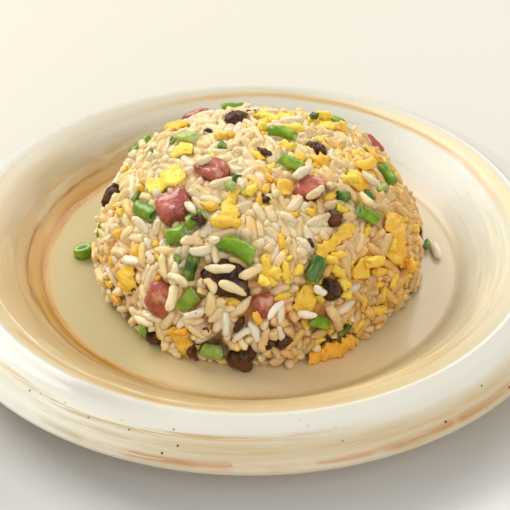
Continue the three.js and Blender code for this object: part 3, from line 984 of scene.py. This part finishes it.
# What is mixed through the rice at random: kind, how many, length and width in millimetres.
mixed = [
    ("rice", 1980, 9.1, 3.45),
    ("egg", 300, 4.6, 3.0),
    ("spring_onion", 30, 2.4, 1.7),
    ("mushroom", 45, 1.8, 1.2),
]
kind_names = [row[0] for row in mixed]

# What lies in a place of its own: bearing, climb, turn, length, width, and shade. Rice runs
# from a dry white 0 through cream to a clear 1; egg from yellow to gold; onion from dark to pale.
placed = {
    "rice": [
        (-103, 27, 10, 10.5, 3.3, 0.3), (-98, 22, -24, 10.5, 3.4, 0.6), (-105, 22, -38, 6, 3.2, 0.9),
        (-100, 10, -85, 10, 3.3, 0), (-95, 7, 43, 9, 3, 0), (-116, 33, 10, 9, 3.6, 0.4),
        (-111, 31, 18, 10, 3.3, 0.2), (-107, 35, 0, 8.5, 3.4, 0.3), (-143, 30, -19, 8.5, 3.2, 0.2),
        (-136, 32, 76, 7.5, 3, 0.3), (-122, 43, -12, 9.5, 3.2, 0), (-116, 57, 54, 9.5, 3, 0.4),
        (-136, 61, 69, 6.5, 3, 0.2), (-103, 58, -71, 7, 3, 0.7), (-141, 18, 18, 9, 3.2, 0.1),
        (-126, 22, -56, 9, 3.2, 0.8), (-116, 22, 2, 9.5, 3.6, 0.4), (-117, 16, -77, 9.5, 3.4, 0.5),
        (-109, 13, 16, 9, 3.2, 0.1), (-111, 9, 5, 8, 3.4, 0.3), (-103, 13, 56, 8.5, 3.2, 0.7),
        (-53, 59, 8, 9, 3.8, 0.1), (-35, 38, 58, 9.5, 3.2, 0.8), (-27, 33, -59, 10.5, 3.6, 1),
        (-21, 41, 78, 8.5, 3.4, 0.1), (-56, 49, 13, 8.5, 3.2, 0.4), (-42, 49, -3, 9, 3.2, 0.4),
        (-68, 48, 31, 8.5, 3.8, 0.4), (-90, 46, -74, 8, 3.4, 0.5), (-75, 43, -49, 7.5, 3.4, 0.4),
        (-60, 40, 3, 9.5, 3.2, 0.4), (-71, 33, -66, 7.5, 3.2, 0.2), (-70, 19, -46, 6.5, 3.2, 0),
        (-66, 10, -75, 10.5, 3.4, 0.9), (-56, 15, -4, 7.5, 3, 0.1), (-60, 10, 18, 8.5, 3.4, 0.1),
        (-75, 13, -14, 7, 3.2, 0), (-85, 16, 38, 8.5, 3.2, 0), (-83, 14, 88, 8.5, 3.2, 0),
        (-91, 8, -72, 9.5, 3.4, 0), (-88, 5, 76, 10, 3.6, 0.9), (-83, 7, -75, 7, 3, 0.1),
    ],
    "egg": [
        (162, 71, -85, 4.5, 3, 0.2), (155, 76, -73, 3, 2.6, 0.9), (-96, 55, 31, 6.5, 4, 0.2),
        (-116, 46, 6, 5.5, 3.6, 0.6), (-155, 21, 46, 4.5, 3, 0.8), (-161, 26, 40, 5.5, 3.2, 0.4),
        (170, 28, 88, 3.5, 2.6, 0.5), (-146, 1, 22, 6, 3.4, 0.9), (-151, 4, 20, 5, 3.2, 0.2),
        (-90, 14, -56, 4.5, 3.2, 0.8), (-114, 5, -4, 4.5, 3.2, 0.9), (82, 74, -69, 8, 4, 0.1),
        (33, 68, 17, 9, 4.4, 0.1), (43, 50, 56, 7.5, 3.6, 0.2), (10, 61, 41, 4.5, 3.2, 0.4),
        (30, 46, 60, 6, 3.4, 0.5), (-15, 75, -82, 6.5, 4, 0.3), (-22, 59, -84, 7.5, 4.4, 0.7),
        (-80, 62, -69, 4, 2.8, 0.9), (3, 45, -89, 5, 3.4, 0.4), (12, 36, 48, 9, 3.2, 0.9),
        (-7, 43, -71, 7.5, 4.2, 0.4), (-29, 46, -44, 6, 4.4, 0.2), (-104, 41, 5, 11, 4.2, 0.5),
        (-46, 46, -9, 6, 3.4, 0.6), (-84, 26, -58, 5, 3.2, 0.2), (-88, 24, -36, 5.5, 3.2, 0.2),
        (-60, 22, -55, 5.5, 4, 0.3), (-59, 18, -61, 6, 4, 0.3), (-59, 14, -52, 4.5, 4, 0.2),
        (-46, 21, -20, 9.5, 4.4, 0.5), (-34, 17, -64, 8, 3.8, 0.8), (-29, 12, -34, 9, 4.6, 0.9),
        (-42, 16, -27, 9.5, 4, 0.8), (-42, 7, 88, 6.5, 3, 0.7), (-35, 9, 40, 6, 3.2, 0.5),
        (-52, 10, -83, 5, 3.2, 0.6), (-44, 2, -24, 9, 3.8, 0.6),
    ],
    "spring_onion": [
        (165, 50, 20, 5, 2, 0.1), (170, 41, -10, 5, 2.2, 0.4), (-159, 34, -20, 7, 2.6, 0),
        (-168, 73, 57, 3.6, 2.4, 0.2), (-174, 11, -80, 5, 2.2, 0.3), (-109, 60, 78, 4, 2.8, 0),
        (-108, 55, -28, 5, 3.8, 0.7), (-121, 26, -22, 3.4, 2.2, 0.1), (-129, 0, -72, 6, 4, 0.5),
        (43, 55, 80, 4.5, 2.6, 0.1), (-38, 43, -40, 5.5, 4.4, 0.15), (-13, 34, -18, 7.5, 3.2, 0.7),
        (-25, 37, -60, 4.5, 3.2, 0), (-61, 2, 23, 5.5, 2.8, 0.1),
    ],
    "mushroom": [
        (153, 64, 83, 4, 2, 0), (-115, 40, -37, 4.5, 3.2, 0), (-110, -1, -82, 7, 3.4, 0),
        (96, 57, 51, 4.5, 2.2, 0), (-70, 79, -56, 6, 2.8, 0), (-86, 52, -65, 3.8, 2.4, 0),
        (-68, 33, -66, 3.6, 1.8, 0), (-82, 4, 44, 6, 4.4, 0), (-6, 10, 80, 7, 1.8, 0),
        (-96, 10, 60, 6, 3, 0), (-87, 3, 30, 5, 3, 0),
    ],
}
placed_lift = 7.4 * mm
placed_limit = 12 * mm


def way_to(bearing, climb):
    """The direction at a bearing round from +X and a climb up from level, in degrees."""
    bearing, climb = np.radians(bearing), np.radians(climb)
    across = np.cos(climb)
    return np.stack([across * np.cos(bearing), across * np.sin(bearing), np.sin(climb)], -1)


def lay_placed():
    """The placed ones, held just over the surface: the turn of each is measured up from level."""
    rows = np.array([row for kind in placed for row in placed[kind]]).T
    bearing, climb, turn, lengths, widths, shades = rows
    each = [len(placed[kind]) for kind in placed]
    kinds = np.repeat([kind_names.index(kind) for kind in placed], each)
    points, normals = core_spot(way_to(bearing, climb))
    level = unit(np.cross([0.0, 0.0, 1.0], normals))
    turn = np.radians(turn)[:, None]
    ways = np.cos(turn) * level + np.sin(turn) * np.cross(normals, level)
    middles = points + placed_lift * normals
    limits = np.full(len(turn), placed_limit)
    return Grains(middles, ways, lengths * mm, widths * mm, limits, kinds, shades)


broken_share = 0.2
moved_share = 0.5
crumb_depth = 2.2 * mm
skirt_height = 24 * mm
crown_height = 52 * mm


def drop_mixed():
    """The random ones, dropped loosely and not yet settled. Some grains are broken, some egg
    of the left half is moved to the right, and crumbs lie near the outside. Grains may stand
    proud of the bowl's surface, more so in the skirt by the plate, less so on the crown."""
    kinds = np.repeat(np.arange(len(mixed)), [row[1] for row in mixed])
    count = len(kinds)
    crumbs = kinds > 0
    lengths = np.array([row[2] for row in mixed])[kinds] * mm * random.normal(1, 0.11, count)
    widths = np.array([row[3] for row in mixed])[kinds] * mm * random.normal(1, 0.08, count)
    lengths *= np.where(crumbs, random.uniform(0.6, 1.5, count), 1)
    broken = (random.uniform(0, 1, count) < broken_share) & ~crumbs
    lengths *= np.where(broken, random.uniform(0.5, 0.85, count), 1)
    middles = drop_middles(count)
    height, out = core_height(middles)
    middles[crumbs] += out[crumbs] * (outer_height - crumb_depth - height[crumbs])[:, None]
    left_egg = (kinds == 1) & (middles[:, 0] < mound_centre[0])
    moved = left_egg & (random.uniform(0, 1, count) < moved_share)
    middles[moved, 0] = 2 * mound_centre[0] - middles[moved, 0]
    _, out = core_height(middles)
    lean = random.normal(0, 1, (count, 3))
    ways = unit(lean - 0.5 * out * (lean * out).sum(1, keepdims=True))
    loose = random.exponential(0.6 * mm, count).clip(0, 2.0 * mm)
    loose += 1.2 * mm * random.uniform(0, 1, count) * (middles[:, 2] < skirt_height)
    swell = np.where(middles[:, 2] < crown_height, 1.4 * mm, 0.4 * mm)
    loose += swell * ripple(middles, 15 * mm, 302)
    shades = np.where(crumbs, random.uniform(0.1, 0.7, count), random.beta(2, 2.6, count))
    return Grains(middles, ways, lengths, widths, outer_height + loose, kinds, shades)


bead_space = 1.0 * mm
placed_sink = 0.045 * mm
mixed_sink = 0.05 * mm
most_overlap = 1.25 * mm
hidden_depth = 3.7 * mm
rests = topping_beads(bead_space)
rest_sizes = np.full(len(rests), bead_space)
chosen = lay_placed()
settle(chosen, rests, rest_sizes, placed_sink, held=True)
rests = np.concatenate([rests, chosen.beads().reshape(-1, 3)])
rest_sizes = np.concatenate([rest_sizes, np.repeat(chosen.sizes, bead_count)])
grains = drop_mixed()
overlap = settle(grains, rests, rest_sizes, mixed_sink)

# A white grain and a bit of dark leaf fell off and lie on the plate at the right.
fallen_middles = np.array([[73.6, 2.6, 12.8], [70.4, 5.0, 13.3]]) * mm
fallen_ways = unit(np.array([[0.2, -1.0, 0.0], [0.3, 1.0, 0.4]]))
fallen_lengths, fallen_widths = np.array([[10.5, 4.6], [3.4, 2.9]]) * mm
fallen_kinds = np.array([0, 2])
none = np.zeros(2)
fallen = [fallen_middles, fallen_ways, fallen_lengths, fallen_widths, none, fallen_kinds, none]
chosen = chosen.join(Grains(*fallen))
grains = chosen.join(grains.pick(overlap < most_overlap))
top_height, _ = core_height(grains.middles)
whole = grains.kinds == 0
shown = whole & (top_height > outer_height - hidden_depth)

rice = Finish(
    "rice", (248, 240, 218), Subsurface_Weight=0.8, Subsurface_Radius=(0.6, 0.8, 1.0),
    Subsurface_Scale=1.6 * mm, Coat_Weight=0.2, Coat_Roughness=0.12,
)
tone = rice.attribute("tone")
x, y, z = rice.split()
cloud = rice.noise(3.2 * mm, 2.0)
patch = rice.noise(13 * mm, 3.0, warp=0.4)
# Towards the right and low down the rice is painted browner, partly oil and partly painted shade; the
# left and the top are painted paler, a painted light.
oil_and_shade_side = (0.65 * x - 0.15 * y - 0.35 * z) / (60 * mm) + 1.3 * patch
pale_and_lit_side = 0.7 * oil_and_shade_side.rise(0.2, -0.6)
rice.paint(
    (tone.rise(0.0, 0.5), 250, 227, 176),
    (tone.rise(0.5, 1.0), 250, 219, 160),
    (pale_and_lit_side, 238, 231, 184),
    # The crown is painted duller, a painted shade that tones down the strong light on top.
    (0.6 * z.rise(45 * mm, 62 * mm), 218, 202, 160),
    (0.85 * oil_and_shade_side.rise(0.4, 1.15) * tone.rise(-0.1, 0.3), 188, 147, 79),
    (rice.attribute("warmth"), 242, 190, 78),
    (0.4 * cloud.rise(0.5, 0.75), 252, 212, 168),
)
# Painted shade: deep between grains the rice is painted a gap colour, dark brown low on the mound and
# orange higher up; high on the mound and on its lit side the gaps are painted pale, a painted light.
gap = rice.blend(z.rise(34 * mm, 56 * mm), linear(236, 162, 70), linear(254, 234, 188))
gap = rice.blend(pale_and_lit_side, gap, linear(253, 236, 184))
gap = rice.blend(z.rise(34 * mm, 17 * mm), gap, linear(84, 46, 18))
rice.colour = rice.blend(0.8 * rice.attribute("sunk"), rice.colour, gap)
pepper = rice.specks(6 * mm).rise(0.1, 0.06) * patch.rise(0.5, 0.56)
rice.paint((pepper, 96, 62, 30))
rice.dress(0.32 + 0.22 * cloud, rice.noise(1.5 * mm, 3.0), 0.4 * mm)

gap_depth = 2.6 * mm


def mark_sunk(mesh):
    """How far in each point lies: 0 at the outside of the rice and 1 at a gap's bottom, where the rice
    gets its painted shade.
    """
    height, _ = core_height(read_points(mesh))
    add_attribute(mesh, "sunk", ((outer_height - height) / gap_depth).clip(0, 1))


# Rice that took up oil and egg is warmer, more so on the right.
oily = (grains.middles[:, 0] / (50 * mm)).clip(0, 1)
grain_warmth = random.beta(0.6, 3.0, len(whole))
grain_warmth += 0.45 * random.uniform(0, 1, len(whole)) * oily
grain_warmth[:len(chosen.middles)] = 0.0
mesh = skin("rice_surface", grain_points(grains.pick(shown), rows=9, sides=8, ragged=0.07))
add_attribute(mesh, "tone", grains.shades[shown])
add_attribute(mesh, "warmth", grain_warmth[shown])
mark_sunk(mesh)
add_piece(mesh, rice, "rice_mound")

crumb_finish = {"egg": egg, "spring_onion": onion, "mushroom": mushroom}
for kind, finish in crumb_finish.items():
    some = grains.pick(grains.kinds == kind_names.index(kind))
    mesh = skin(kind + "_bits", grain_points(some, rows=9, sides=9, ragged=0.2))
    add_attribute(mesh, "tone", some.shades)
    add_attribute(mesh, "shade", some.shades)
    add_attribute(mesh, "depth", random.uniform(0.0, 0.4, len(some.middles)))
    add_piece(mesh, finish, "rice_mound")

# -------------------- packed rice
# Under and between those lies the packed rice. Its grains stick together, so it is one
# surface: the highest grain in each direction, with the creases between them filled.

packed_cells = 292
lowest_fall = math.radians(97.5)
crease = 0.16 * mm
grain_spread = 1.1
clump_fill = 0.55
loose_fill = -0.9
packed_floor = -2.2 * mm
most_proud = 0.6 * mm


def square_ways():
    """Directions over the whole mound on a square grid of even cells: the square is drawn
    out to a disc ring by ring, and the disc is wrapped down from the top."""
    line = np.linspace(-1, 1, packed_cells)
    u, v = np.meshgrid(line, line, indexing="ij")
    wide = np.abs(u) >= np.abs(v)
    ring = np.where(wide, u, v)
    ratio = np.where(wide, v, u) / np.where(ring == 0, 1, ring)
    bearing = np.where(wide, ratio * np.pi / 4, np.pi / 2 - ratio * np.pi / 4)
    bearing = bearing + np.pi * (ring < 0)
    fall = 2 * np.arcsin(np.abs(ring) * math.sin(lowest_fall / 2))
    level = np.sin(fall)
    return np.stack([level * np.cos(bearing), level * np.sin(bearing), np.cos(fall)], -1)


def square_cells(ways):
    """The nearest row and column of that grid in each direction."""
    ring = np.sin(np.arccos(ways[:, 2].clip(-1, 1)) / 2) / math.sin(lowest_fall / 2)
    turn = bearing_of(ways) / (np.pi / 2)
    quarter = np.round(turn)
    along = ring * (turn - quarter) * 2
    cos, sin = np.cos(quarter * np.pi / 2), np.sin(quarter * np.pi / 2)
    places = np.stack([ring * cos - along * sin, ring * sin + along * cos], 1)
    return np.round((places + 1) / 2 * (packed_cells - 1)).astype(int)


def packed_rice(grains, radii, fills, marks, reach=15):
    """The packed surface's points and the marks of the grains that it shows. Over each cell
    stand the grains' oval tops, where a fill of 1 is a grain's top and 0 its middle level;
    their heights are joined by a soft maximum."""
    ways = square_ways()
    under, normal = core_spot(ways)
    under, normal = under.reshape(-1, 3), normal.reshape(-1, 3)
    steps = np.arange(-reach, reach + 1)
    cells = square_cells(unit(grains.middles - mound_centre))
    rows = cells[:, 0, None, None] + steps[:, None]
    columns = cells[:, 1, None, None] + steps
    inside = (rows >= 0) & (rows < packed_cells) & (columns >= 0) & (columns < packed_cells)
    owner, _, _ = np.nonzero(inside)
    cell = (rows * packed_cells + columns)[inside]
    away = under[cell] - grains.middles[owner]
    out = normal[cell]
    grain_way = grains.ways[owner]
    inner = 1 / radii[owner] ** 2
    outer = 1 / (grains.lengths[owner] / 2) ** 2
    away_out = dot(away, out)
    away_way = dot(away, grain_way)
    out_way = dot(out, grain_way)
    a = (1 - out_way ** 2) * inner + out_way ** 2 * outer
    b = (away_out - away_way * out_way) * inner + away_way * out_way * outer
    c = (dot(away, away) - away_way ** 2) * inner + away_way ** 2 * outer - 1
    reached = b * b - a * c
    hit = reached > 0
    height = (fills[owner[hit]] * np.sqrt(reached[hit]) - b[hit]) / a[hit]
    cell, owner = cell[hit], owner[hit]
    floor = packed_floor + 0.5 * mm * ripple(under, 4.0 * mm, 3, 30)
    weight = np.exp(height / crease)
    start = np.exp(floor / crease)
    total = start + np.bincount(cell, weight, len(under))
    points = under + normal * (crease * np.log(total))[:, None]
    points[:, 2] = np.maximum(points[:, 2], floor_height + rest_gap)
    blended = [
        (mark.mean() * start + np.bincount(cell, weight * mark[owner], len(under))) / total
        for mark in marks
    ]
    return points, blended


def packed_mesh(points):
    """The square grid closed underneath by a fan from its edge to a point on the plate."""
    index = np.arange(packed_cells ** 2).reshape(packed_cells, packed_cells)
    quads = np.stack([index[:-1, :-1], index[1:, :-1], index[1:, 1:], index[:-1, 1:]], -1)
    edge = np.concatenate([index[0, :-1], index[:-1, -1], index[-1, :0:-1], index[:0:-1, 0]])
    middle = np.array([[mound_centre[0], mound_centre[1], floor_height + rest_gap]])
    hub = np.full(len(edge), len(points))
    fan = np.stack([hub, edge, np.roll(edge, -1)], 1)
    return mesh_from("rice_packed", np.concatenate([points, middle]), quads.reshape(-1, 4), fan)


level = whole & (top_height < outer_height + most_proud)
fill = grains.pick(level)
fill_radii = fill.widths / 2 * np.where(shown[level], grain_spread, 1.0)
clumped = ripple(fill.middles, 16 * mm, 301) > 0.6 - fill.middles[:, 2] / (30 * mm)
fills = np.where(shown[level], np.where(clumped, clump_fill, loose_fill), 1.0)
points, marks = packed_rice(fill, fill_radii, fills, [fill.shades, grain_warmth[level]])
mesh = packed_mesh(points)
for name, mark in zip(("tone", "warmth"), marks):
    add_attribute(mesh, name, np.append(mark, mark.mean()))
mark_sunk(mesh)
add_piece(mesh, rice, "rice_mound")
